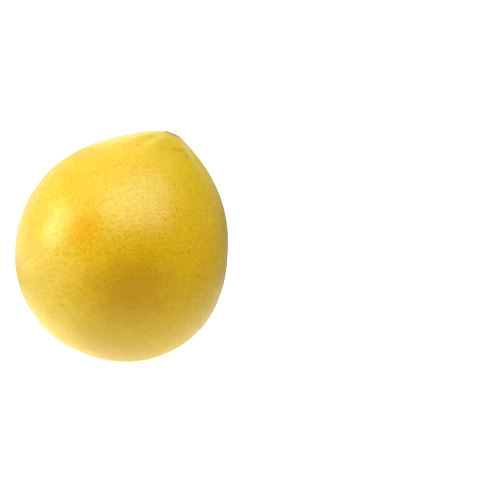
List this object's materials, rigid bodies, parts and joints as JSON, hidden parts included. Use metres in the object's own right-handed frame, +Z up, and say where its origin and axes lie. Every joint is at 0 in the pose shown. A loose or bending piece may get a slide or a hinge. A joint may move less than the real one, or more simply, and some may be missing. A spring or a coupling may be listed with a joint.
{
  "type": "pomelo",
  "caption": "Whole ripe pomelo: a large round citrus fruit drawn up to a short leaning neck with a dry stem button, standing on a small flat spot of its own underside.",
  "frame": {"origin": "middle of the small flat spot that the fruit rests on", "axes": "+Z up, +X the side that the neck leans to, -Y the front that is seen in the picture"},
  "size_m": [0.1503, 0.1517, 0.162],
  "materials": {
    "rind": "waxy satin rind with fine oil-gland pits, golden yellow and a little greener at the neck",
    "dry_stem": "dry, matt, grey-brown and corky"
  },
  "bodies": {
    "root": {"fruit": "rind", "stem_button": "dry_stem"}
  },
  "joints": []
}
